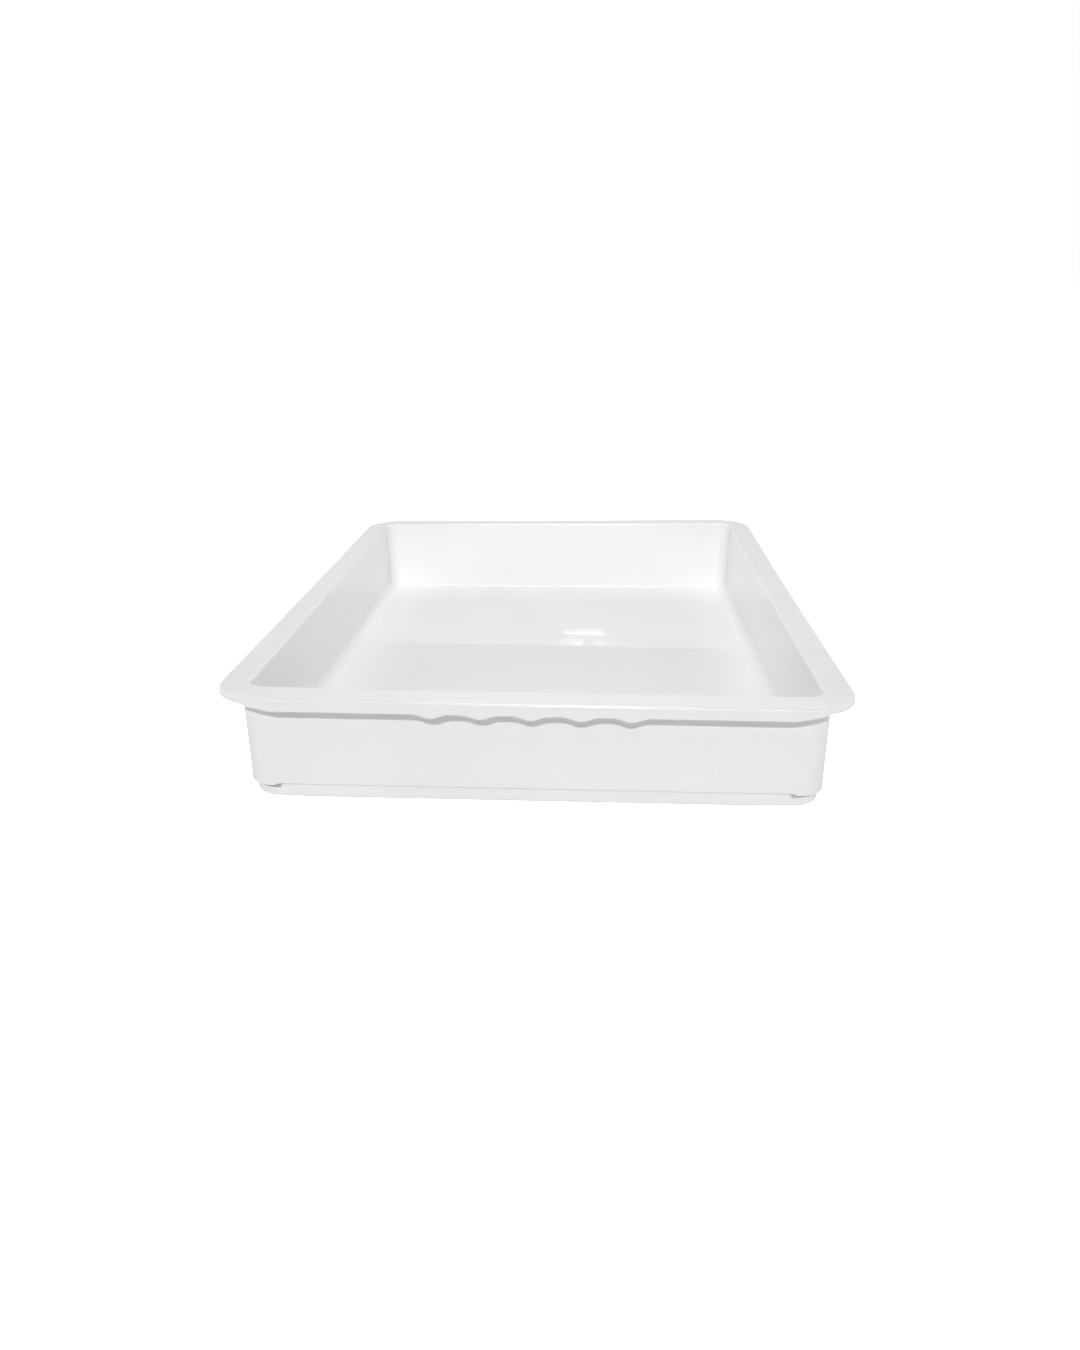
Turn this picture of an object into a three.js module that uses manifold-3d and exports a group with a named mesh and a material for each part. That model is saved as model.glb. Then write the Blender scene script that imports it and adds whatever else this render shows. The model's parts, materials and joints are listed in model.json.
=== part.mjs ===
// A developing tray: one injection-moulded piece of glossy white plastic.
// Millimetres, +Z up, the long side along Y. The origin is the middle of the base, on the surface
// that the tray stands on.

import * as THREE from 'three';
import { mergeVertices } from 'three/addons/utils/BufferGeometryUtils.js';
import Module from 'manifold-3d';

// Overall size, over the rim.
const WIDTH = 271;
const LENGTH = 330;
const HEIGHT = 51;
const RIM_CORNER_RADIUS = 21.5;

// The rim, which slopes down a little towards its edge.
const RIM_THICKNESS = 3.1;
const RIM_SLOPE = 0.45;
const RIM_OVERHANG = 9.2;
const RIM_EDGE_RADIUS = 1.2;
const RIM_TIP_RADIUS = 0.4;

// The lip that hangs from the rim's edge along each short side, and rises into the rim at its ends.
const LIP_DEPTH = 2.9;
const LIP_THICKNESS = 2.4;
const LIP_HALF_LENGTH = 108.2;
const LIP_FADE = 14;
const LIP_END_SHARE = 0.6;
const LIP_FACE_INSET = 0.1;

// The finger grip: bumps on the lip's lower edge, with grooves between.
const GRIP_BUMPS = 5;
const GRIP_PITCH = 20.7;
const GRIP_BUMP_WIDTH = 15.5;
const GRIP_BUMP_DEPTH = 1.9;

// The walls, which lean in towards the base so that the tray leaves its mould.
const DRAFT = THREE.MathUtils.degToRad(1.5);
const WALL_THICKNESS = 4.3;
const INNER_EDGE_RADIUS = 1.4;

// The foot: a band set back from the wall, and a ring under it that the tray stands on.
const FOOT_HEIGHT = 6.9;
const FOOT_SETBACK = 0.8;
const FOOT_CORNER_RADIUS = 12;
const FOOT_EDGE_RADIUS = 1.2;
const FOOT_RING_WIDTH = 7;
const BASE_RECESS = 1;
const BASE_RECESS_CORNER_RADIUS = 6;

// The floor inside, with a wide fillet along the long sides and a tight one along the short sides.
const FLOOR_THICKNESS = 3.2;
const SIDE_FILLET_RADIUS = 6.5;
const END_FILLET_RADIUS = 0.9;

// How finely round stretches are cut.
const CORNER_SEGMENTS = 8;
const ARC_SEGMENTS = 4;
const GRIP_BUMP_SEGMENTS = 10;

const QUARTER_TURN = Math.PI / 2;
const FLOOR_TOP = BASE_RECESS + FLOOR_THICKNESS;

const wasm = await Module();
wasm.setup();

/** How far a wall face has leaned in at a height, from where it would be level with the rim's top. */
function leanAt(z) {
  return Math.tan(DRAFT) * (HEIGHT - z);
}

/**
 * Points of a round stretch of the wall's section. The section is drawn as x, the inset from the
 * rim's outer edge, and y, the height. Angle 0 points inwards and a quarter turn points up.
 */
function sectionArc(x, y, radius, startAngle, endAngle) {
  const arc = new THREE.EllipseCurve(x, y, radius, radius, startAngle, endAngle, endAngle < startAngle);
  return arc.getPoints(ARC_SEGMENTS);
}

/** The foot's section, from the recess under the base out to the top of the band. */
function footSection() {
  const bandInset = RIM_OVERHANG + leanAt(FOOT_HEIGHT) + FOOT_SETBACK;
  const ringInset = bandInset + FOOT_EDGE_RADIUS + FOOT_RING_WIDTH;
  const edge = sectionArc(
    bandInset + FOOT_EDGE_RADIUS, FOOT_EDGE_RADIUS, FOOT_EDGE_RADIUS, -QUARTER_TURN, -2 * QUARTER_TURN,
  );
  const band = [...edge, new THREE.Vector2(bandInset, FOOT_HEIGHT)];
  return [
    { x: ringInset + BASE_RECESS, y: BASE_RECESS, cornerRadius: BASE_RECESS_CORNER_RADIUS },
    { x: ringInset, y: 0, cornerRadius: BASE_RECESS_CORNER_RADIUS + BASE_RECESS },
    ...band.map(({ x, y }) => ({ x, y, cornerRadius: FOOT_CORNER_RADIUS - (x - bandInset) })),
  ];
}

/** The outer wall's section, from the ledge over the foot up to the underside of the rim. */
function outerWallSection() {
  const rimUnderside = HEIGHT - RIM_THICKNESS;
  return [
    { x: RIM_OVERHANG + leanAt(FOOT_HEIGHT), y: FOOT_HEIGHT },
    { x: RIM_OVERHANG + leanAt(rimUnderside), y: rimUnderside },
  ];
}

/** The rim's section: out along its underside, round its lower edge, and up to the sloping top. */
function rimSection() {
  const underside = HEIGHT - RIM_THICKNESS;
  const tip = sectionArc(
    RIM_TIP_RADIUS, underside + RIM_TIP_RADIUS, RIM_TIP_RADIUS, -QUARTER_TURN, -2 * QUARTER_TURN,
  );
  const edgeHeight = HEIGHT - RIM_SLOPE - RIM_EDGE_RADIUS;
  const edge = sectionArc(RIM_EDGE_RADIUS, edgeHeight, RIM_EDGE_RADIUS, 2 * QUARTER_TURN, QUARTER_TURN);
  return [...tip, ...edge];
}

/** The inner wall's section: over the rounded inner edge, down the wall and round to the floor. */
function innerWallSection() {
  const faceInset = RIM_OVERHANG + WALL_THICKNESS;
  const edge = sectionArc(
    faceInset - INNER_EDGE_RADIUS, HEIGHT - INNER_EDGE_RADIUS, INNER_EDGE_RADIUS, QUARTER_TURN, DRAFT,
  );
  const floorInset = faceInset + leanAt(FLOOR_TOP);
  const turns = sectionArc(1, 1, 1, 2 * QUARTER_TURN + DRAFT, 3 * QUARTER_TURN);
  const fillet = turns.map(({ x, y }) => ({
    x: floorInset, y: FLOOR_TOP, filletIn: x - Math.tan(DRAFT), filletUp: y,
  }));
  return [...edge, ...fillet];
}

/** The fillet's radius where the wall faces a direction: 0 is along a long side's outward normal. */
function filletRadiusFacing(angle) {
  const sideShare = THREE.MathUtils.smoothstep(Math.abs(Math.cos(angle)), 0, 1);
  return THREE.MathUtils.lerp(END_FILLET_RADIUS, SIDE_FILLET_RADIUS, sideShare);
}

/**
 * The tray's outline at one point of the section: a rounded rectangle, anticlockwise from above. A
 * point on the floor's fillet also moves in and up by its shares of the fillet's radius.
 */
function outlineAt(
  { x: inset, y: z, cornerRadius = RIM_CORNER_RADIUS - inset, filletIn = 0, filletUp = 0 },
) {
  const centreX = WIDTH / 2 - inset - cornerRadius;
  const centreY = LENGTH / 2 - inset - cornerRadius;
  const centres = [[centreX, -centreY], [centreX, centreY], [-centreX, centreY], [-centreX, -centreY]];
  const points = [];
  centres.forEach(([x, y], corner) => {
    for (let i = 0; i <= CORNER_SEGMENTS; i += 1) {
      const angle = QUARTER_TURN * (corner - 1 + i / CORNER_SEGMENTS);
      const fillet = filletRadiusFacing(angle);
      const reach = cornerRadius - filletIn * fillet;
      const height = z + filletUp * fillet;
      points.push(new THREE.Vector3(x + reach * Math.cos(angle), y + reach * Math.sin(angle), height));
    }
  });
  return points;
}

/** A closed body through a stack of outlines, with a flat cap on the first and on the last. */
function loft(outlines) {
  const count = outlines[0].length;
  const index = [];
  for (let level = 0; level < outlines.length - 1; level += 1) {
    for (let i = 0; i < count; i += 1) {
      const here = level * count + i;
      const beside = level * count + ((i + 1) % count);
      index.push(here, beside, beside + count, here, beside + count, here + count);
    }
  }
  const lastLevel = (outlines.length - 1) * count;
  for (const [a, b, c] of THREE.ShapeUtils.triangulateShape(outlines[0], [])) {
    index.push(a, c, b);
  }
  for (const [a, b, c] of THREE.ShapeUtils.triangulateShape(outlines.at(-1), [])) {
    index.push(lastLevel + a, lastLevel + b, lastLevel + c);
  }
  const geometry = new THREE.BufferGeometry().setFromPoints(outlines.flat());
  geometry.setIndex(index);
  return geometry;
}

/** How far the lip's lower edge lies below its plain depth at x: a rounded tooth at each bump. */
function bumpDepth(x) {
  const reach = (GRIP_BUMPS - 1) / 2;
  const nearest = THREE.MathUtils.clamp(Math.round(x / GRIP_PITCH), -reach, reach);
  const offset = (x - nearest * GRIP_PITCH) / GRIP_BUMP_WIDTH;
  return Math.abs(offset) > 0.5 ? 0 : (GRIP_BUMP_DEPTH * (1 + Math.cos(2 * Math.PI * offset))) / 2;
}

/** The lip under one short side of the rim, with its root inside the rim. */
function lip() {
  const root = RIM_THICKNESS / 3;
  const gripEnd = (GRIP_PITCH * (GRIP_BUMPS - 1) + GRIP_BUMP_WIDTH) / 2;
  const steps = Math.round((2 * gripEnd * GRIP_BUMP_SEGMENTS) / GRIP_PITCH);
  const lipEnd = LIP_HALF_LENGTH + LIP_FADE * LIP_END_SHARE;
  const shape = new THREE.Shape();
  shape.moveTo(lipEnd, root);
  shape.lineTo(-lipEnd, root);
  shape.lineTo(-lipEnd, -LIP_DEPTH * (1 - LIP_END_SHARE));
  shape.lineTo(-LIP_HALF_LENGTH, -LIP_DEPTH);
  for (let i = 0; i <= steps; i += 1) {
    const x = gripEnd * ((2 * i) / steps - 1);
    shape.lineTo(x, -LIP_DEPTH - bumpDepth(x));
  }
  shape.lineTo(LIP_HALF_LENGTH, -LIP_DEPTH);
  shape.lineTo(lipEnd, -LIP_DEPTH * (1 - LIP_END_SHARE));
  const depth = LIP_THICKNESS - LIP_FACE_INSET;
  const geometry = new THREE.ExtrudeGeometry(shape, { depth, bevelEnabled: false });
  geometry.rotateX(QUARTER_TURN);
  geometry.translate(0, LENGTH / 2 - LIP_FACE_INSET, HEIGHT - RIM_THICKNESS);
  return geometry;
}

/** Turns a closed geometry into a solid that can be joined to another. */
function toSolid(geometry) {
  const bare = geometry.clone();
  bare.deleteAttribute('normal');
  bare.deleteAttribute('uv');
  const merged = mergeVertices(bare);
  const vertProperties = new Float32Array(merged.attributes.position.array);
  const triVerts = new Uint32Array(merged.index.array);
  return new wasm.Manifold(new wasm.Mesh({ numProp: 3, vertProperties, triVerts }));
}

/** Turns a solid back into a geometry. */
function toGeometry(solid) {
  const { vertProperties, triVerts } = solid.getMesh();
  const geometry = new THREE.BufferGeometry();
  geometry.setAttribute('position', new THREE.BufferAttribute(vertProperties, 3));
  geometry.setIndex(new THREE.BufferAttribute(triVerts, 1));
  return geometry;
}

/** The whole moulding: the shell, with a lip joined under each short side of the rim. */
function trayGeometry() {
  const section = [
    ...footSection(),
    ...outerWallSection(),
    ...rimSection(),
    ...innerWallSection(),
  ];
  const shell = toSolid(loft(section.map(outlineAt)));
  const frontLip = toSolid(lip().rotateZ(2 * QUARTER_TURN));
  return toGeometry(shell.add(toSolid(lip())).add(frontLip));
}

/** Glossy white polystyrene. */
function whitePlastic() {
  return new THREE.MeshStandardMaterial({ color: 0xe9e9e7, roughness: 0.22, metalness: 0 });
}

const tray = new THREE.Mesh(trayGeometry(), whitePlastic());
tray.name = 'tray';

const object = new THREE.Group();
object.add(tray);

export default object;
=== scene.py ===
"""A developing tray: one moulding of glossy white plastic, standing on a plain pale floor."""

import json
import math
from collections import namedtuple

import bpy
import numpy as np
from mathutils import Matrix, Vector


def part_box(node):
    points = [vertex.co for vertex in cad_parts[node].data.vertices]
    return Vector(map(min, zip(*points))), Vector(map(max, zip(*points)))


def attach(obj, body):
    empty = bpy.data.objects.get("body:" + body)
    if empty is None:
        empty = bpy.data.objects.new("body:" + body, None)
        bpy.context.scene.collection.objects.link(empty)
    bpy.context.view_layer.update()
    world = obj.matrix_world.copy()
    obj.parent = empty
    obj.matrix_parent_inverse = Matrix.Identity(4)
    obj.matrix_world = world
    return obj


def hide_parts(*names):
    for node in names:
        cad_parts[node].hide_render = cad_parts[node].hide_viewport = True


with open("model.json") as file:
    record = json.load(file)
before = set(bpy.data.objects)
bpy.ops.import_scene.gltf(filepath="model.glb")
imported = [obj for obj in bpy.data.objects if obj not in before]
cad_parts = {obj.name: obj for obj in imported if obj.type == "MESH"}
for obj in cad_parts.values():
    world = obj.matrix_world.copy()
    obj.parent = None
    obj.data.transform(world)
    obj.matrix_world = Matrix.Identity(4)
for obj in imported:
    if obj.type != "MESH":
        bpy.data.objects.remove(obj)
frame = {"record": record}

MM = 0.001
QUARTER_TURN = math.pi / 2

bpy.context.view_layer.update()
tray_low, tray_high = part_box("tray")
mounts = {mount["name"]: mount for mount in frame["record"]["mounts"]}

# The tray's overall size, from the frame.
HALF_WIDTH = tray_high[0]
HALF_LENGTH = tray_high[1]
HEIGHT = tray_high[2]
FLOOR_TOP = mounts["inner_floor"]["pos_m"][2]

# The rim, which slopes down a little towards its edge.
RIM_CORNER_RADIUS = 21.5 * MM
RIM_THICKNESS = 3.1 * MM
RIM_SLOPE = 0.45 * MM
RIM_OVERHANG = 9.2 * MM
RIM_EDGE_RADIUS = 1.2 * MM
RIM_TIP_RADIUS = 0.4 * MM
RIM_ROOT_RADIUS = 0.8 * MM

# The lip that hangs from the rim's edge along each short side, and fades out round the corners.
LIP_DEPTH = 2.9 * MM
LIP_THICKNESS = 2.4 * MM
LIP_HALF_LENGTH = 108.2 * MM
LIP_FADE = 14 * MM

# The finger grip: bumps on the lip's lower edge, with grooves between.
GRIP_BUMPS = 5
GRIP_PITCH = 20.7 * MM
GRIP_BUMP_WIDTH = 15.5 * MM
GRIP_BUMP_DEPTH = 1.9 * MM

# The walls. Each short side has a panel that stands a little proud, with its ledge a little higher.
DRAFT = math.radians(1.5)
WALL_THICKNESS = 4.3 * MM
INNER_EDGE_RADIUS = 1.4 * MM
PANEL_RISE = 0.3 * MM
PANEL_HALF_LENGTH = 113 * MM
PANEL_EDGE_WIDTH = 2.5 * MM

# The foot: a band set back under the wall, and the ring that the tray stands on. The ledge over the
# band lies lower away from the panels, which bends the skin for a reach above and below it. The band
# swells out along the short sides.
FOOT_HEIGHT = 6.9 * MM
FOOT_DROP = 1.1 * MM
FOOT_DROP_REACH = 2 * FOOT_DROP
FOOT_SETBACK = 1.5 * MM
FOOT_SWELL = 0.7 * MM
FOOT_SWELL_LENGTH = 96 * MM
FOOT_CORNER_RADIUS = 12 * MM
FOOT_EDGE_RADIUS = 1.2 * MM
FOOT_RING_WIDTH = 7 * MM
LEDGE_RADIUS = 0.25 * MM
BASE_RECESS = 1 * MM
BASE_RECESS_CORNER_RADIUS = 6 * MM
BASE_RECESS_EDGE_RADIUS = 0.4 * MM

# The painted shade under the ledge: a dark line painted on the band in the crease, where the ledge's
# shadow falls. How wide it is, where it has faded out, and how much of it is left under a panel.
CREASE_SHADE_WIDTH = 1.05 * MM
CREASE_SHADE_END = 1.4 * CREASE_SHADE_WIDTH
CREASE_SHADE_ON_PANEL = 0.05

# The fillet round the floor, wide along the long sides and tight along the short ones. The straight
# part of the inner wall ends clear above it.
SIDE_FILLET_RADIUS = 6.5 * MM
END_FILLET_RADIUS = 0.9 * MM
FILLET_CLEARANCE = 1.2 * SIDE_FILLET_RADIUS

# The mark left by the mould's gate under the base.
GATE_DISC_RADIUS = 6 * MM
GATE_DISC_DEPTH = 0.5 * MM
GATE_STUB_RADIUS = 1.3 * MM
GATE_STUB_HEIGHT = 0.35 * MM
GATE_BEVEL = 0.15 * MM

# How far the moulding is out of true at the rim: twisted at its corners, and drawn in at mid-side.
FRONT_TWIST = 0.5 * MM
BACK_TWIST = 1.4 * MM
SIDE_BOW = 0.6 * MM

# How dulled each edge is by use, from 0 to 1.
RING_WEAR = 0.6
FOOT_WEAR = 0.8
LEDGE_WEAR = 0.5
LIP_WEAR = 0.7
RIM_FACE_WEAR = 0.2
RIM_EDGE_WEAR = 1
INNER_EDGE_WEAR = 0.7

# How finely the surface is cut.
CORNER_STEPS = 20
ARC_STEPS = 7
WALL_STEPS = 6
RIM_FACE_STEPS = 3
GRIP_STEP = 0.6 * MM
EDGE_STEP = 0.5 * MM
SIDE_STEP = 7 * MM

# Where the rings of the two flat faces lie, as shares of the way out from the middle.
BASE_RING_SHARES = (0.3, 0.55, 0.8, 0.93, 0.98)
FLOOR_RING_SHARES = (0.98, 0.93, 0.8, 0.6, 0.4, 0.2, 0.05)

# One ring of the skin: its inset from the rim's edge and its height, how far it follows the lip, the
# grip's bumps, the panel's rise, the foot's swell and the ledge's drop, how far in and up it lies on
# the fillet, how dulled it is, and how much painted shade it takes in the crease under the ledge.
Ring = namedtuple(
    "Ring", "inset z corner_radius lip grip rise foot drop fillet_in fillet_up wear grime",
    defaults=(None, 0, 0, 0, 0, 0, 0, 0, 0, 0),
)
# Where the rings' stops lie: the corner last passed, the direction faced, how far on to the next
# corner, and how much there is of the lip, the grip's bumps, the panel and the foot's swell.
Stop = namedtuple("Stop", "corner facing share lip swell panel foot", defaults=(0, 0, 0, 0, 0))


# ---------------------------------------------------------------- the way round the tray

def smooth_step(low, high, value):
    """0 below low, 1 above high, and a smooth ramp between them."""
    share = np.clip((value - low) / (high - low), 0, 1)
    return share * share * (3 - 2 * share)


def side_stops(half, fine_zones):
    """Places along one straight side, from -half to half: close together in the fine zones."""
    places = [0.0]
    while places[-1] < half:
        here = places[-1]
        steps = [step for low, high, step in fine_zones if low <= here < high]
        ahead = [low - here for low, _, _ in fine_zones if low > here]
        places.append(here + min(steps + ahead + [SIDE_STEP]))
    places[-1] = half
    return sorted({-place for place in places} | set(places))


def way_round():
    """Every ring's stops, anticlockwise from above."""
    half_x = HALF_WIDTH - RIM_CORNER_RADIUS
    half_y = HALF_LENGTH - RIM_CORNER_RADIUS
    grip_end = GRIP_PITCH * (GRIP_BUMPS - 1) / 2 + GRIP_BUMP_WIDTH / 2
    short_zones = [
        (0, grip_end, GRIP_STEP),
        (LIP_HALF_LENGTH - EDGE_STEP, LIP_HALF_LENGTH + EDGE_STEP, EDGE_STEP),
        (PANEL_HALF_LENGTH - PANEL_EDGE_WIDTH, PANEL_HALF_LENGTH, EDGE_STEP),
    ]
    stops = []
    for corner in range(4):
        facing = QUARTER_TURN * (corner - 1)
        for step in range(CORNER_STEPS + 1):
            turned = QUARTER_TURN * step / CORNER_STEPS
            from_short_side = turned if corner % 2 == 0 else QUARTER_TURN - turned
            lip = lip_share(half_x + RIM_CORNER_RADIUS * from_short_side)
            stops.append(Stop(corner, facing + turned, lip=lip))
        ahead = facing + QUARTER_TURN
        if corner % 2 == 0:
            for place in side_stops(half_y, [])[1:-1]:
                stops.append(Stop(corner, ahead, (place + half_y) / (2 * half_y)))
        else:
            for place in side_stops(half_x, short_zones)[1:-1]:
                share = (place + half_x) / (2 * half_x)
                foot = 1 - smooth_step(FOOT_SWELL_LENGTH, half_x, abs(place))
                stops.append(
                    Stop(
                        corner, ahead, share,
                        lip_share(abs(place)), grip_swell(place), panel_share(place), foot,
                    )
                )
    return Stop(*np.array(stops).T)


def lip_share(way):
    """How much of its full depth the lip has, at a way along the rim from the short side's middle."""
    return float(np.clip(1 - (way - LIP_HALF_LENGTH) / LIP_FADE, 0, 1))


def panel_share(x):
    """1 on the short side's panel, 0 beyond it, and a smooth ramp between."""
    return 1 - smooth_step(PANEL_HALF_LENGTH - PANEL_EDGE_WIDTH, PANEL_HALF_LENGTH, abs(x))


def grip_swell(x):
    """How far the grip reaches below the lip's edge at x, as a share of a bump's depth."""
    nearest = round(x / GRIP_PITCH)
    nearest = max(-(GRIP_BUMPS // 2), min(GRIP_BUMPS // 2, nearest))
    offset = abs(x - nearest * GRIP_PITCH) / GRIP_BUMP_WIDTH
    return 0.0 if offset > 0.5 else (1 + math.cos(2 * math.pi * offset)) / 2


# ---------------------------------------------------------------- the wall's section

def lean_at(z):
    """How far a wall face has leaned in at a height, from where it would meet the rim's top."""
    return math.tan(DRAFT) * (HEIGHT - z)


def arc(inset, z, radius, start, end, **settings):
    """Rings round an arc of the section. Angle 0 faces inwards and a quarter turn faces up."""
    rings = []
    for step in range(ARC_STEPS + 1):
        angle = start + (end - start) * step / ARC_STEPS
        rings.append(Ring(inset + radius * math.cos(angle), z + radius * math.sin(angle), **settings))
    return rings


def foot_section():
    """From the recess under the base, over the ring it stands on, to the top of the foot's band."""
    band = RIM_OVERHANG + lean_at(FOOT_HEIGHT) + FOOT_SETBACK
    ring_inset = band + FOOT_EDGE_RADIUS + FOOT_RING_WIDTH
    round_edge = BASE_RECESS_EDGE_RADIUS
    rings = arc(
        ring_inset + round_edge, BASE_RECESS - round_edge, round_edge, QUARTER_TURN, 2 * QUARTER_TURN
    )
    rings += arc(ring_inset - round_edge, round_edge, round_edge, 0, -QUARTER_TURN, wear=RING_WEAR)
    rings = [
        ring._replace(corner_radius=BASE_RECESS_CORNER_RADIUS + ring_inset - ring.inset)
        for ring in rings
    ]
    edge = arc(
        band + FOOT_EDGE_RADIUS, FOOT_EDGE_RADIUS, FOOT_EDGE_RADIUS, -QUARTER_TURN, -2 * QUARTER_TURN,
        wear=FOOT_WEAR,
    )
    edge.append(Ring(band, FOOT_HEIGHT - FOOT_DROP_REACH))
    edge.append(Ring(band, FOOT_HEIGHT - CREASE_SHADE_END, drop=1))
    # These rings carry the painted shade: a dark line on the band just under the ledge.
    edge.append(Ring(band, FOOT_HEIGHT - CREASE_SHADE_WIDTH, drop=1, grime=1))
    edge.append(Ring(band, FOOT_HEIGHT, drop=1, grime=1))
    rings += [
        ring._replace(corner_radius=FOOT_CORNER_RADIUS - (ring.inset - band), foot=1) for ring in edge
    ]
    return rings


def outer_wall_section():
    """From the ledge over the foot's band up to the underside of the rim."""
    face = RIM_OVERHANG + lean_at(FOOT_HEIGHT)
    rings = arc(
        face + LEDGE_RADIUS, FOOT_HEIGHT + LEDGE_RADIUS, LEDGE_RADIUS, -QUARTER_TURN, -2 * QUARTER_TURN,
        rise=1, drop=1, wear=LEDGE_WEAR,
    )
    # The ledge's lowest ring carries the painted shade in the crease as well.
    rings[0] = rings[0]._replace(grime=1)
    bottom = FOOT_HEIGHT + FOOT_DROP_REACH
    top = HEIGHT - RIM_THICKNESS - RIM_ROOT_RADIUS
    for step in range(WALL_STEPS + 1):
        z = bottom + (top - bottom) * step / WALL_STEPS
        rings.append(Ring(RIM_OVERHANG + lean_at(z), z, rise=1))
    root = arc(
        RIM_OVERHANG + lean_at(top) - RIM_ROOT_RADIUS, top, RIM_ROOT_RADIUS, 0, QUARTER_TURN
    )
    share = np.linspace(1, 0, len(root))
    rings += [ring._replace(rise=part) for ring, part in zip(root, share)]
    return rings


def rim_section():
    """Out under the rim, round the lip's tip, up the face and over the rim's edge.

    The lip's inner rings are set at the rim's underside and hang by their shares of the lip's depth,
    so that they lie flat where there is no lip.
    """
    underside = HEIGHT - RIM_THICKNESS
    lip_tip = underside - LIP_DEPTH + RIM_TIP_RADIUS
    root = arc(
        LIP_THICKNESS + RIM_ROOT_RADIUS, underside - RIM_ROOT_RADIUS, RIM_ROOT_RADIUS,
        QUARTER_TURN, 2 * QUARTER_TURN,
    )
    tip = arc(
        LIP_THICKNESS - RIM_TIP_RADIUS, lip_tip, RIM_TIP_RADIUS, 0, -QUARTER_TURN,
        grip=1, wear=LIP_WEAR,
    )
    rings = [ring._replace(z=underside, lip=(underside - ring.z) / LIP_DEPTH) for ring in root + tip]
    rings += arc(
        RIM_TIP_RADIUS, underside + RIM_TIP_RADIUS, RIM_TIP_RADIUS, -QUARTER_TURN, -2 * QUARTER_TURN,
        lip=1, grip=1, wear=LIP_WEAR,
    )
    face_bottom = underside + RIM_TIP_RADIUS
    face_top = HEIGHT - RIM_SLOPE - RIM_EDGE_RADIUS
    for step in range(1, RIM_FACE_STEPS):
        share = step / RIM_FACE_STEPS
        z = face_bottom + (face_top - face_bottom) * share
        rings.append(Ring(0, z, lip=1 - share, grip=1 - share, wear=RIM_FACE_WEAR))
    edge = arc(
        RIM_EDGE_RADIUS, face_top, RIM_EDGE_RADIUS, 2 * QUARTER_TURN, QUARTER_TURN,
        wear=RIM_EDGE_WEAR,
    )
    return rings + edge


def inner_section():
    """From the rim's top over its inner edge, down the wall and round on to the floor."""
    face = RIM_OVERHANG + WALL_THICKNESS
    edge_height = HEIGHT - INNER_EDGE_RADIUS
    wall_end = FLOOR_TOP + FILLET_CLEARANCE
    rings = arc(
        face - INNER_EDGE_RADIUS, edge_height, INNER_EDGE_RADIUS, QUARTER_TURN, DRAFT,
        wear=INNER_EDGE_WEAR,
    )
    for step in range(1, WALL_STEPS + 1):
        z = edge_height + (wall_end - edge_height) * step / WALL_STEPS
        rings.append(Ring(face + lean_at(z), z))
    foot_of_wall = face + lean_at(FLOOR_TOP)
    for turn in arc(1, 1, 1, 2 * QUARTER_TURN + DRAFT, 3 * QUARTER_TURN):
        inwards = turn.inset - math.tan(DRAFT)
        rings.append(Ring(foot_of_wall, FLOOR_TOP, fillet_in=inwards, fillet_up=turn.z))
    return rings


# ---------------------------------------------------------------- the mesh

def place_ring(ring, stops):
    """The points of one ring: a rounded rectangle, inset from the rim's edge."""
    radius = RIM_CORNER_RADIUS - ring.inset if ring.corner_radius is None else ring.corner_radius
    reach_x = HALF_WIDTH - ring.inset - radius
    reach_y = HALF_LENGTH - ring.inset - radius
    centres = np.array([(1, -1), (1, 1), (-1, 1), (-1, -1)]) * (reach_x, reach_y)
    corner = stops.corner.astype(int)
    outward = np.stack([np.cos(stops.facing), np.sin(stops.facing)], axis=1)
    passed = centres[corner]
    ahead = centres[(corner + 1) % 4]
    plan = passed + (ahead - passed) * stops.share[:, None]
    long_side = smooth_step(0, 1, np.abs(outward[:, 0]))
    fillet = END_FILLET_RADIUS + (SIDE_FILLET_RADIUS - END_FILLET_RADIUS) * long_side
    reach = radius + ring.rise * PANEL_RISE * stops.panel - ring.fillet_in * fillet
    reach += ring.foot * FOOT_SWELL * stops.foot
    plan += outward * reach[:, None]
    z = ring.z - ring.drop * FOOT_DROP * (1 - stops.panel) + ring.fillet_up * fillet
    z -= ring.lip * LIP_DEPTH * stops.lip + ring.grip * GRIP_BUMP_DEPTH * stops.swell
    return np.column_stack([plan, z])


def shrunk(ring_points, scale, z):
    """A ring drawn in towards the tray's middle, at a height."""
    points = ring_points * (scale, scale, 1)
    points[:, 2] = z
    return points


def rounded_in(ring_points, radius, z):
    """A circle with one point for each of a ring's points."""
    angle = np.arctan2(ring_points[:, 1], ring_points[:, 0])
    return np.column_stack([radius * np.cos(angle), radius * np.sin(angle), np.full(len(angle), z)])


def gate_rings(first_ring):
    """Under the base, from the middle outwards: the gate's stub and disc, then the flat recess."""
    disc = BASE_RECESS + GATE_DISC_DEPTH
    stub = disc - GATE_STUB_HEIGHT
    profile = (
        (GATE_STUB_RADIUS / 2, stub),
        (GATE_STUB_RADIUS - GATE_BEVEL, stub),
        (GATE_STUB_RADIUS, stub + GATE_BEVEL),
        (GATE_STUB_RADIUS, disc - GATE_BEVEL),
        (GATE_STUB_RADIUS + GATE_BEVEL, disc),
        (GATE_DISC_RADIUS - GATE_BEVEL, disc),
        (GATE_DISC_RADIUS, disc - GATE_BEVEL),
        (GATE_DISC_RADIUS, BASE_RECESS + GATE_BEVEL),
        (GATE_DISC_RADIUS + GATE_BEVEL, BASE_RECESS),
        (GATE_DISC_RADIUS * 2, BASE_RECESS),
    )
    rings = [rounded_in(first_ring, radius, z) for radius, z in profile]
    return rings + [shrunk(first_ring, share, BASE_RECESS) for share in BASE_RING_SHARES]


def floor_rings(last_ring):
    """The floor inside, from the fillet in to the middle."""
    return [shrunk(last_ring, share, FLOOR_TOP) for share in FLOOR_RING_SHARES]


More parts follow.
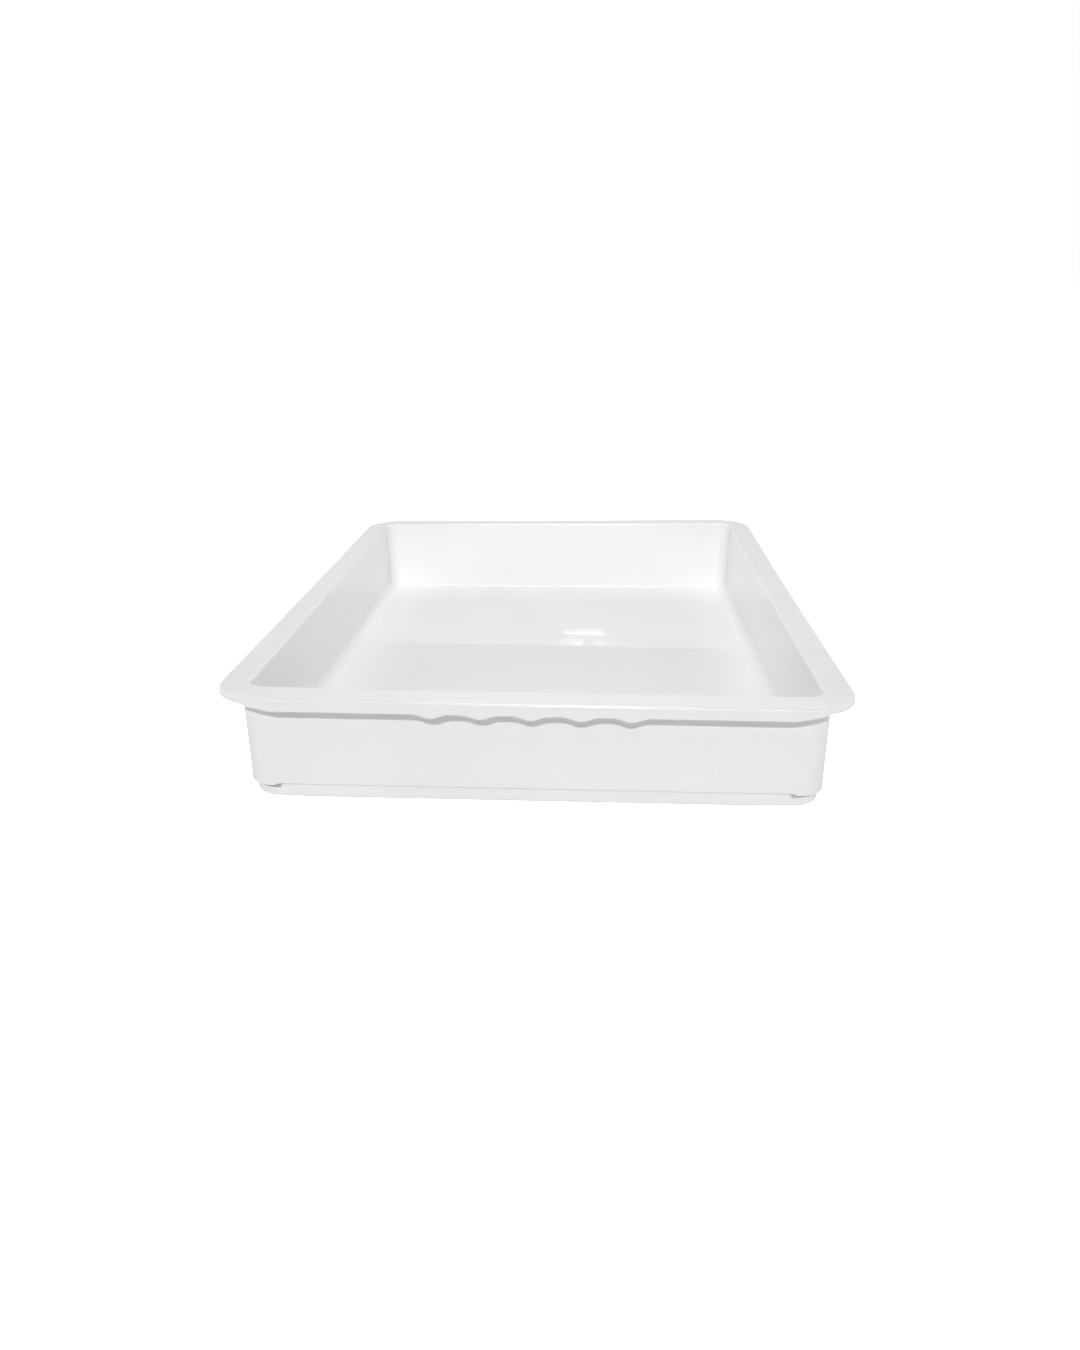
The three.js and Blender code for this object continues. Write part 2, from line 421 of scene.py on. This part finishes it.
def warp(points):
    """Puts the moulding slightly out of true, more so towards the rim."""
    x, y, z = points.T
    height = np.clip(z / HEIGHT, 0, 1)
    across = x / HALF_WIDTH
    along = y / HALF_LENGTH
    warped = points.copy()
    twist = np.where(along > 0, BACK_TWIST, FRONT_TWIST)
    warped[:, 2] += twist * across * along * height
    warped[:, 0] -= SIDE_BOW * across * (1 - along * along) * height
    return warped


def skin_faces(ring_count, stop_count):
    """Quads between neighbouring rings, and a fan on to the middle of the first and last ring."""
    faces = []
    ahead = [(i + 1) % stop_count for i in range(stop_count)]
    for ring in range(ring_count - 1):
        base = ring * stop_count
        for i, j in enumerate(ahead):
            faces.append((base + i, base + j, base + stop_count + j, base + stop_count + i))
    under = ring_count * stop_count
    over = under + 1
    last = (ring_count - 1) * stop_count
    for i, j in enumerate(ahead):
        faces.append((under, j, i))
        faces.append((last + i, last + j, over))
    return faces


def keep_values(mesh, name, first, values):
    """Stores a number with each point, from the first one given, and 0 with all the others."""
    held = np.zeros(len(mesh.vertices), np.float32)
    held[first:first + values.size] = values.ravel()
    mesh.attributes.new(name, "FLOAT", "POINT").data.foreach_set("value", held)


def make_tray():
    """The whole moulding as one closed skin, with each point's wear, and the painted shade in the crease
    under the ledge, for the material.
    """
    stops = way_round()
    stop_count = len(stops.corner)
    section = foot_section() + outer_wall_section() + rim_section() + inner_section()
    rings = [place_ring(ring, stops) for ring in section]
    under = gate_rings(rings[0])
    over = floor_rings(rings[-1])
    rings = under + rings + over
    middles = np.array([(0, 0, under[0][0, 2]), (0, 0, FLOOR_TOP)])
    points = warp(np.concatenate(rings + [middles]))
    mesh = bpy.data.meshes.new("white_tray")
    mesh.from_pydata(points.tolist(), [], skin_faces(len(rings), stop_count))
    mesh.shade_smooth()
    first = len(under) * stop_count
    # Where the painted crease shade shows: nearly none of it under a panel.
    takes_crease_shade = 1 - (1 - CREASE_SHADE_ON_PANEL) * stops.panel
    keep_values(mesh, "wear", first, np.outer([ring.wear for ring in section], np.ones(stop_count)))
    keep_values(mesh, "grime", first, np.outer([ring.grime for ring in section], takes_crease_shade))
    tray = bpy.data.objects.new("white_tray", mesh)
    bpy.context.collection.objects.link(tray)
    normals = tray.modifiers.new("flat_faces_first", "WEIGHTED_NORMAL")
    normals.mode = "FACE_AREA"
    normals.weight = 50
    return tray


# ---------------------------------------------------------------- materials

# The plastic's colours: the two that its mottling runs between, then what lies over them.
PLASTIC_SHADES = ((0.855, 0.851, 0.845, 1), (0.880, 0.877, 0.870, 1))
BLOOM_COLOUR = (0.860, 0.850, 0.832, 1)
SPECK_COLOUR = (0.62, 0.60, 0.57, 1)
SCUFF_COLOUR = (0.74, 0.73, 0.71, 1)
WORN_COLOUR = (0.78, 0.77, 0.75, 1)
# The dark colour of the shade that is painted in the crease under the ledge.
CREASE_SHADE_COLOUR = (0.10, 0.09, 0.08, 1)

# How much of each covers the colour under it, or the least and the most of it.
BLOOM_COVER = 0.35
SPECK_COVER = 0.14
SCUFF_COVER = 0.10
WORN_COVER = 0.04
# The painted crease shade covers between these two.
CREASE_SHADE_COVER = (0.2, 0.42)

# The roughness of the clean plastic, least and most, and what scuffs and worn edges add to it.
GLOSS = (0.015, 0.030)
SCUFF_ROUGHNESS = 0.14
WORN_ROUGHNESS = 0.20
PLASTIC_IOR = 1.65

# The bumps: how strong each kind is, and how deep.
WAVE_STRENGTH = 0.5
WAVE_DEPTH = 0.06 * MM
PEEL_STRENGTH = 0.02
SCUFF_STRENGTH = 0.12
FINE_DEPTH = 0.02 * MM

# The noises' scales, in features to a metre.
CLOUD_SCALE = 14
BLOOM_SCALE = 55
SPECK_SCALE = 480
WEAR_SCALE = 160
# The painted crease shade is patchy at this scale.
CREASE_SHADE_SCALE = 90
GLOSS_SCALE = 35
WAVE_SCALE = 24
PEEL_SCALE = 900
SCUFF_PATCH_SCALE = 22
GRAIN_SCALE = 300

# The ranges of noise that the ramps work over, and how much of the wear shows at the ends of its own.
NOISE_RANGE = (0.3, 0.7)
BLOOM_RANGE = (0.45, 0.75)
SPECK_RANGE = (0.868, 0.888)
WEAR_RANGE = (0.42, 0.62)
WEAR_SHARES = (0.25, 0.8)
# The range over which the painted crease shade is patchy.
CREASE_SHADE_RANGE = (0.3, 0.6)
SCUFF_PATCH_RANGE = (0.5, 0.65)

# Each set of scuffs: its direction, the spacing of its lines, and how much of the noise shows as
# lines. SCUFF_STRETCH draws the noise out along them, and SCUFF_EDGE sets how soft their edges are.
SCUFF_SETS = ((0.5, 1.6 * MM, 0.30), (-0.8, 2.3 * MM, 0.30))
SCUFF_STRETCH = 0.04
SCUFF_EDGE = 0.7

# The floor's colours, which its grain runs between, and its roughness.
FLOOR_SHADES = ((0.79, 0.79, 0.79, 1), (0.82, 0.82, 0.82, 1))
FLOOR_ROUGHNESS = 0.9


class Nodes:
    """A short way to add and join a material's nodes."""

    def __init__(self, tree):
        self.tree = tree
        tree.nodes.clear()

    def add(self, kind, inputs=None, **settings):
        """Adds a node, sets its properties, and sets or joins its inputs."""
        node = self.tree.nodes.new(kind)
        for name, value in settings.items():
            setattr(node, name, value)
        for name, value in (inputs or {}).items():
            self.feed(node.inputs[name], value)
        return node

    def feed(self, socket, value):
        """Joins a node's output to a socket, or sets the socket's own value."""
        if isinstance(value, bpy.types.NodeSocket):
            self.tree.links.new(value, socket)
        else:
            socket.default_value = value

    def math(self, operation, a, b=0.0):
        """One sum on two numbers or sockets."""
        node = self.add("ShaderNodeMath", operation=operation)
        self.feed(node.inputs[0], a)
        self.feed(node.inputs[1], b)
        return node.outputs[0]

    def noise(self, where, scale, detail=2.0, roughness=0.5):
        """Smooth noise from 0 to 1, with scale features to a metre."""
        inputs = {"Vector": where, "Scale": scale, "Detail": detail, "Roughness": roughness}
        return self.add("ShaderNodeTexNoise", inputs).outputs["Fac"]

    def ramp(self, value, low, high, at_low=0.0, at_high=1.0):
        """Maps low..high to at_low..at_high, and holds the ends."""
        inputs = {
            "Value": value, "From Min": low, "From Max": high, "To Min": at_low, "To Max": at_high,
        }
        return self.add("ShaderNodeMapRange", inputs, interpolation_type="SMOOTHSTEP").outputs["Result"]

    def blend(self, share, colour_a, colour_b):
        """A colour between two."""
        node = self.add("ShaderNodeMix", data_type="RGBA")
        self.feed(node.inputs["Factor"], share)
        self.feed(node.inputs["A"], colour_a)
        self.feed(node.inputs["B"], colour_b)
        return node.outputs["Result"]


def scratches(nodes, where, angle, spacing, share):
    """A mask of long fine scuffs that run one way: 1 on a scuff, 0 off it."""
    turned = nodes.add(
        "ShaderNodeMapping",
        {"Vector": where, "Rotation": (0, 0, angle), "Scale": (SCUFF_STRETCH, 1, 1)},
    )
    lines = nodes.noise(turned.outputs["Vector"], 1 / spacing, detail=1)
    patches = nodes.noise(where, SCUFF_PATCH_SCALE, detail=1)
    line = nodes.ramp(lines, 1 - share, 1 - share * SCUFF_EDGE)
    return nodes.math("MULTIPLY", line, nodes.ramp(patches, *SCUFF_PATCH_RANGE))


def white_plastic():
    """Glossy moulded white plastic, lightly used: faint mottling, specks, scuffs and wear, with painted
    shade in the crease under the ledge.
    """
    material = bpy.data.materials.new("white_plastic")
    material.use_nodes = True
    nodes = Nodes(material.node_tree)
    where = nodes.add("ShaderNodeTexCoord").outputs["Object"]
    wear = nodes.add("ShaderNodeAttribute", attribute_name="wear").outputs["Fac"]
    # The mask of the painted shade in the crease, carried on the mesh.
    grime = nodes.add("ShaderNodeAttribute", attribute_name="grime").outputs["Fac"]

    cloud = nodes.noise(where, CLOUD_SCALE, detail=4, roughness=0.6)
    flow = nodes.noise(where, BLOOM_SCALE, detail=2)
    colour = nodes.blend(nodes.ramp(cloud, *NOISE_RANGE), *PLASTIC_SHADES)
    colour = nodes.blend(nodes.ramp(flow, *BLOOM_RANGE, 0, BLOOM_COVER), colour, BLOOM_COLOUR)
    specks = nodes.ramp(nodes.noise(where, SPECK_SCALE, detail=0), *SPECK_RANGE, 0, SPECK_COVER)
    colour = nodes.blend(specks, colour, SPECK_COLOUR)

    scuffs = nodes.math("MAXIMUM", *(scratches(nodes, where, *scuff_set) for scuff_set in SCUFF_SETS))
    worn = nodes.ramp(nodes.noise(where, WEAR_SCALE, detail=3), *WEAR_RANGE, *WEAR_SHARES)
    edge = nodes.math("MULTIPLY", wear, worn)
    colour = nodes.blend(nodes.math("MULTIPLY", scuffs, SCUFF_COVER), colour, SCUFF_COLOUR)
    colour = nodes.blend(nodes.math("MULTIPLY", edge, WORN_COVER), colour, WORN_COLOUR)
    # Painted shade: a dark, patchy line in the crease under the ledge, where the ledge's shadow falls.
    patchy_shade = nodes.ramp(nodes.noise(where, CREASE_SHADE_SCALE, detail=3), *CREASE_SHADE_RANGE, *CREASE_SHADE_COVER)
    colour = nodes.blend(nodes.math("MULTIPLY", grime, patchy_shade), colour, CREASE_SHADE_COLOUR)
    polish = nodes.noise(where, GLOSS_SCALE, detail=4, roughness=0.6)
    gloss = nodes.ramp(polish, *NOISE_RANGE, *GLOSS)
    marks = nodes.math(
        "ADD",
        nodes.math("MULTIPLY", scuffs, SCUFF_ROUGHNESS),
        nodes.math("MULTIPLY", edge, WORN_ROUGHNESS),
    )
    roughness = nodes.math("ADD", gloss, marks)

    waves = nodes.add(
        "ShaderNodeBump",
        {
            "Height": nodes.noise(where, WAVE_SCALE, detail=1),
            "Strength": WAVE_STRENGTH, "Distance": WAVE_DEPTH,
        },
    )
    peel = nodes.add(
        "ShaderNodeBump",
        {
            "Height": nodes.noise(where, PEEL_SCALE, detail=2),
            "Strength": PEEL_STRENGTH, "Distance": FINE_DEPTH, "Normal": waves.outputs["Normal"],
        },
    )
    scored = nodes.add(
        "ShaderNodeBump",
        {
            "Height": scuffs,
            "Strength": SCUFF_STRENGTH, "Distance": FINE_DEPTH, "Normal": peel.outputs["Normal"],
        },
        invert=True,
    )
    shader = nodes.add(
        "ShaderNodeBsdfPrincipled",
        {
            "Base Color": colour, "Roughness": roughness, "Normal": scored.outputs["Normal"],
            "IOR": PLASTIC_IOR,
        },
    )
    nodes.add("ShaderNodeOutputMaterial", {"Surface": shader.outputs["BSDF"]})
    return material


def floor_material():
    """Matt off-white paper. The glow that it adds for the camera turns it plain white in the picture."""
    material = bpy.data.materials.new("pale_floor")
    material.use_nodes = True
    nodes = Nodes(material.node_tree)
    where = nodes.add("ShaderNodeTexCoord").outputs["Object"]
    grain = nodes.ramp(nodes.noise(where, GRAIN_SCALE, detail=2), *NOISE_RANGE)
    colour = nodes.blend(grain, *FLOOR_SHADES)
    seen = nodes.add("ShaderNodeLightPath").outputs["Is Camera Ray"]
    glow = nodes.math("ADD", nodes.math("MULTIPLY", seen, BACKGROUND_GLOW), FLOOR_GLOW)
    shader = nodes.add(
        "ShaderNodeBsdfPrincipled",
        {
            "Base Color": colour, "Roughness": FLOOR_ROUGHNESS, "Specular IOR Level": 0.0,
            "Emission Color": (1, 1, 1, 1), "Emission Strength": glow,
        },
    )
    nodes.add("ShaderNodeOutputMaterial", {"Surface": shader.outputs["BSDF"]})
    return material


# ---------------------------------------------------------------- the stage

# The camera: its place, the way it is turned, and its lens. VIEW_SHIFT slides the picture on the
# sensor.
CAMERA_PLACE = (0.0236, -0.5302, 0.2130)
CAMERA_YAW = math.radians(-3.02)
CAMERA_PITCH = math.radians(16.37)
CAMERA_ROLL = math.radians(-0.31)
SENSOR = 36
LENS = 26.03
VIEW_SHIFT = -0.0741

# The key light: small and far off in front, so that the rim throws a crisp shadow on the wall.
KEY_HEIGHT = math.radians(37)
KEY_SIDE = math.radians(-0.5)
KEY_SPREAD = math.radians(2)
KEY_STRENGTH = 1.7

# The long strip at the key light's height, which only reflections show. The rim's edge catches it as
# a thin highlight.
STRIP_DISTANCE = 10
STRIP_SIZE = (18, 0.35)
STRIP_POWER = 700

# The soft boxes over the tray: where each one is, the place it is turned to, its size and its power.
SOFT_BOXES = (
    ((0, -0.08, 0.40), (0, 0.15, 0.03), 0.20, 0.40),
    ((0, -1.2, 2.1), (0, 0, 0), 0.8, 5.0),
)

# The small light above the lens, which only reflections show: the highlight on the floor inside.
FLASH_PLACE = (0.018, -0.530, 0.328)
FLASH_SIZE = (0.06, 0.006)
FLASH_POWER = 1.2

# The room, in bands of the sky: up to which elevation in degrees, how light it is towards -Y and how
# light towards +Y. Each band changes to the next over BAND_EDGE degrees either way. Front changes to
# back where the direction's Y is within FRONT_BACK_BLEND of 0.
SKY_BANDS = ((15, 0.10, 0.76), (27, 0.05, 0.56), (45, 0.05, 0.95), (90, 0.0, 0.0))
BAND_EDGE = 1.5
FRONT_BACK_BLEND = 0.25

# The warm glow from both sides, which rises from nothing to full over a range of sideways directions.
SIDE_GLOW = 0.62
SIDE_COLOUR = (1.0, 0.94, 0.91, 1)
SIDE_RANGE = (0.5, 0.85)

# The floor: its size, how far it lies under the tray, its own glow, and the glow that it adds where
# the camera sees it.
FLOOR_SIZE = 60
FLOOR_GAP = 0.1 * MM
FLOOR_GLOW = 0.08
BACKGROUND_GLOW = 1.0


def look_along(yaw, pitch, roll):
    """The rotation of a camera that looks along +Y, then turned right, down and about its own axis."""
    turn = Matrix.Rotation(-yaw, 3, "Z") @ Matrix.Rotation(QUARTER_TURN - pitch, 3, "X")
    return (turn @ Matrix.Rotation(roll, 3, "Z")).to_euler()


def make_camera():
    """The camera in front of a short side, a little to the right and above."""
    data = bpy.data.cameras.new("camera")
    data.sensor_width = SENSOR
    data.lens = LENS
    data.shift_y = VIEW_SHIFT
    camera = bpy.data.objects.new("camera", data)
    camera.location = CAMERA_PLACE
    camera.rotation_euler = look_along(CAMERA_YAW, CAMERA_PITCH, CAMERA_ROLL)
    bpy.context.collection.objects.link(camera)
    bpy.context.scene.camera = camera


def make_light(name, kind, place, target, power, diffuse=True, glossy=True):
    """A light at a place, turned to a target. It can be left out of matt shading or of reflections."""
    data = bpy.data.lights.new(name, kind)
    data.energy = power
    light = bpy.data.objects.new(name, data)
    light.location = place
    light.rotation_euler = (Vector(target) - Vector(place)).to_track_quat("-Z", "Y").to_euler()
    light.visible_camera = False
    light.visible_diffuse = diffuse
    light.visible_glossy = glossy
    bpy.context.collection.objects.link(light)
    return data


def make_lights():
    """The key light, the strip, the soft boxes and the small light above the lens."""
    level = math.cos(KEY_HEIGHT)
    key_place = (level * math.sin(KEY_SIDE), -level * math.cos(KEY_SIDE), math.sin(KEY_HEIGHT))
    key = make_light("key", "SUN", key_place, (0, 0, 0), KEY_STRENGTH, glossy=False)
    key.angle = KEY_SPREAD
    strip_place = (0, -STRIP_DISTANCE * level, STRIP_DISTANCE * math.sin(KEY_HEIGHT))
    strip = make_light("strip", "AREA", strip_place, (0, 0, 0), STRIP_POWER, diffuse=False)
    strip.shape = "RECTANGLE"
    strip.size, strip.size_y = STRIP_SIZE
    for place, target, size, power in SOFT_BOXES:
        box = make_light("soft_box", "AREA", place, target, power)
        box.size = size
    flash = make_light("flash", "AREA", FLASH_PLACE, (0, 0, 0), FLASH_POWER, diffuse=False)
    flash.shape = "RECTANGLE"
    flash.size, flash.size_y = FLASH_SIZE


def make_world():
    """A pale studio: bands of sky and a glow from each side light the tray. The camera sees white."""
    world = bpy.data.worlds.new("studio")
    bpy.context.scene.world = world
    world.use_nodes = True
    nodes = Nodes(world.node_tree)
    way = nodes.add("ShaderNodeTexCoord").outputs["Generated"]
    split = nodes.add("ShaderNodeSeparateXYZ", {"Vector": way}).outputs
    _, front, back = SKY_BANDS[0]
    strength = nodes.ramp(split["Y"], -FRONT_BACK_BLEND, FRONT_BACK_BLEND, front, back)
    for (top, *_), (_, front, back) in zip(SKY_BANDS, SKY_BANDS[1:]):
        band = nodes.ramp(split["Y"], -FRONT_BACK_BLEND, FRONT_BACK_BLEND, front, back)
        low, high = (math.sin(math.radians(top + side * BAND_EDGE)) for side in (-1, 1))
        above = nodes.ramp(split["Z"], low, high)
        change = nodes.math("MULTIPLY", nodes.math("SUBTRACT", band, strength), above)
        strength = nodes.math("ADD", strength, change)
    beside = nodes.ramp(nodes.math("ABSOLUTE", split["X"]), *SIDE_RANGE, 0, SIDE_GLOW)
    seen = nodes.add("ShaderNodeLightPath").outputs["Is Camera Ray"]
    bands = nodes.add("ShaderNodeBackground", {"Color": (1, 1, 1, 1), "Strength": strength})
    sides = nodes.add("ShaderNodeBackground", {"Color": SIDE_COLOUR, "Strength": beside})
    room = nodes.add("ShaderNodeAddShader")
    nodes.feed(room.inputs[0], bands.outputs["Background"])
    nodes.feed(room.inputs[1], sides.outputs["Background"])
    white = nodes.add("ShaderNodeBackground", {"Color": (1, 1, 1, 1), "Strength": 1.0})
    mixed = nodes.add("ShaderNodeMixShader")
    nodes.feed(mixed.inputs[0], seen)
    nodes.feed(mixed.inputs[1], room.outputs["Shader"])
    nodes.feed(mixed.inputs[2], white.outputs["Background"])
    nodes.add("ShaderNodeOutputWorld", {"Surface": mixed.outputs["Shader"]})


def make_floor():
    """A plain pale floor under the tray."""
    mesh = bpy.data.meshes.new("floor")
    half = FLOOR_SIZE / 2
    corners = [(-half, -half, 0), (half, -half, 0), (half, half, 0), (-half, half, 0)]
    mesh.from_pydata(corners, [], [(0, 1, 2, 3)])
    floor = bpy.data.objects.new("floor", mesh)
    floor.location.z = tray_low[2] - FLOOR_GAP
    mesh.materials.append(floor_material())
    bpy.context.collection.objects.link(floor)


# ---------------------------------------------------------------- putting it together

make_camera()
make_world()
make_lights()
make_floor()
bpy.context.scene.view_settings.view_transform = "Standard"

tray = make_tray()
tray.data.materials.append(white_plastic())
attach(tray, "root")
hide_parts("tray")
